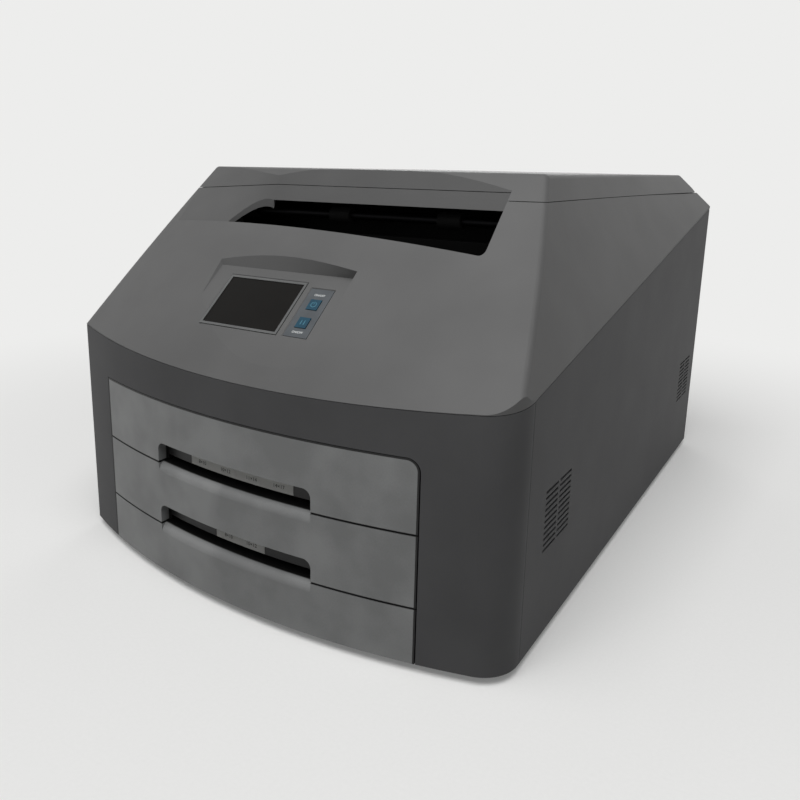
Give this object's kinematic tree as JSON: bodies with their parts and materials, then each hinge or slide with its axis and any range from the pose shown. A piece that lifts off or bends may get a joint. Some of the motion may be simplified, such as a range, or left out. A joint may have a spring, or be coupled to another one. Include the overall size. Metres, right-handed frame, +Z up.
{
  "type": "medical thermal film printer",
  "caption": "Desktop dry film printer with a bowed front, film drawers with finger notches, sloping hood with touch screen and keys, output recess and rear-hinged lid.",
  "frame": {"origin": "middle of the footprint, at the level the feet stand on", "axes": "+X to the right seen from the front, +Y towards the rear, +Z up"},
  "size_m": [0.51, 0.729, 0.401],
  "materials": {
    "cover": "fine spark-eroded texture, matt",
    "fascia": "fine spark-eroded texture, matt, darker",
    "drawer": "satin moulded plastic",
    "inner_black": "black moulded plastic",
    "screen": "dark glossy touch glass",
    "key_plate": "smooth printed plate",
    "key": "teal blue key cap",
    "label": "pale bare strip",
    "sheet_metal": "zinc-plated sheet steel",
    "steel": "ground steel",
    "rubber": "moulded rubber",
    "gear_plastic": "natural acetal",
    "heat_sink": "extruded aluminium",
    "board": "green solder mask",
    "power_box": "folded steel can"
  },
  "bodies": {
    "housing": {"base_front": "drawer", "base_pan": "sheet_metal", "display_frame": "inner_black", "drive_motor": "steel", "fan_frame": "inner_black", "feet": "rubber", "front_bezel": "fascia", "head_bar": "sheet_metal", "head_heat_sink": "heat_sink", "hinge_pins": "steel", "hood": "cover", "idler_stud": "steel", "inner_film_guide": "sheet_metal", "key_board": "board", "key_panel": "key_plate", "left_inner_frame": "sheet_metal", "left_side_panel": "fascia", "left_tray_runners": "sheet_metal", "main_board": "board", "network_socket": "inner_black", "outer_film_guide": "sheet_metal", "output_bin": "inner_black", "power_inlet": "inner_black", "power_supply": "power_box", "print_head": "heat_sink", "rear_panel": "fascia", "right_inner_frame": "sheet_metal", "right_side_panel": "fascia", "right_tray_runners": "sheet_metal", "switch_shell": "inner_black", "touch_screen": "screen"},
    "lower_drawer": {"lower_drawer_front": "drawer", "lower_film_tray": "inner_black", "lower_size_label": "label"},
    "upper_drawer": {"upper_drawer_front": "drawer", "upper_film_tray": "inner_black", "upper_size_label": "label"},
    "lid": {"top_lid": "cover"},
    "power_key": {"power_button": "key"},
    "pause_key": {"pause_button": "key"},
    "platen": {"platen_shaft": "steel", "platen_sleeve": "rubber", "platen_gear": "gear_plastic"},
    "idler": {"idler_gear": "gear_plastic"},
    "exit_roller": {"exit_shaft": "steel", "exit_tyres": "rubber", "exit_gear": "gear_plastic"},
    "motor_rotor": {"motor_shaft": "steel", "motor_pinion": "gear_plastic"},
    "lower_pickup": {"lower_pickup_shaft": "steel", "lower_pickup_tyres": "rubber"},
    "upper_pickup": {"upper_pickup_shaft": "steel", "upper_pickup_tyres": "rubber"},
    "fan": {"fan_rotor": "inner_black"},
    "switch": {"switch_rocker": "inner_black"}
  },
  "joints": [
    {"name": "lower_drawer_slide", "type": "slide", "parent": "housing", "child": "lower_drawer", "axis": [0, -1, 0], "range_m": [0, 0.38]},
    {"name": "upper_drawer_slide", "type": "slide", "parent": "housing", "child": "upper_drawer", "axis": [0, -1, 0], "range_m": [0, 0.38]},
    {"name": "lid_hinge", "type": "hinge", "parent": "housing", "child": "lid", "pos_m": [0, 0.3553, 0.385], "axis": [-1, 0, 0], "range_deg": [0, 70]},
    {"name": "power_press", "type": "slide", "parent": "housing", "child": "power_key", "axis": [0, 0.6455, -0.7638], "range_m": [0, 0.001], "stiffness_N_per_m": 500},
    {"name": "pause_press", "type": "slide", "parent": "housing", "child": "pause_key", "axis": [0, 0.6455, -0.7638], "range_m": [0, 0.001], "stiffness_N_per_m": 500},
    {"name": "platen_spin", "type": "hinge", "parent": "housing", "child": "platen", "pos_m": [-0.008, -0.1245, 0.308], "axis": [1, 0, 0], "continuous": true},
    {"name": "idler_spin", "type": "hinge", "parent": "housing", "child": "idler", "pos_m": [-0.008, -0.1562, 0.33555], "axis": [1, 0, 0], "continuous": true},
    {"name": "exit_spin", "type": "hinge", "parent": "housing", "child": "exit_roller", "pos_m": [-0.008, -0.17884, 0.35524], "axis": [1, 0, 0], "continuous": true},
    {"name": "motor_spin", "type": "hinge", "parent": "housing", "child": "motor_rotor", "pos_m": [-0.008, -0.09393, 0.28143], "axis": [1, 0, 0], "continuous": true},
    {"name": "lower_pickup_spin", "type": "hinge", "parent": "housing", "child": "lower_pickup", "pos_m": [-0.008, 0.0875, 0.11], "axis": [1, 0, 0], "continuous": true},
    {"name": "upper_pickup_spin", "type": "hinge", "parent": "housing", "child": "upper_pickup", "pos_m": [-0.008, 0.0875, 0.174], "axis": [1, 0, 0], "continuous": true},
    {"name": "fan_spin", "type": "hinge", "parent": "housing", "child": "fan", "pos_m": [0.12, 0.3475, 0.233], "axis": [0, 1, 0], "continuous": true},
    {"name": "switch_tilt", "type": "hinge", "parent": "housing", "child": "switch", "pos_m": [-0.112, 0.359, 0.068], "axis": [1, 0, 0], "range_deg": [-8, 8]}
  ],
  "couplings": [
    {"joint": "idler_spin", "follows": "platen_spin", "ratio": -2.5},
    {"joint": "exit_spin", "follows": "platen_spin", "ratio": 1.6667},
    {"joint": "motor_spin", "follows": "platen_spin", "ratio": -2.8571}
  ]
}
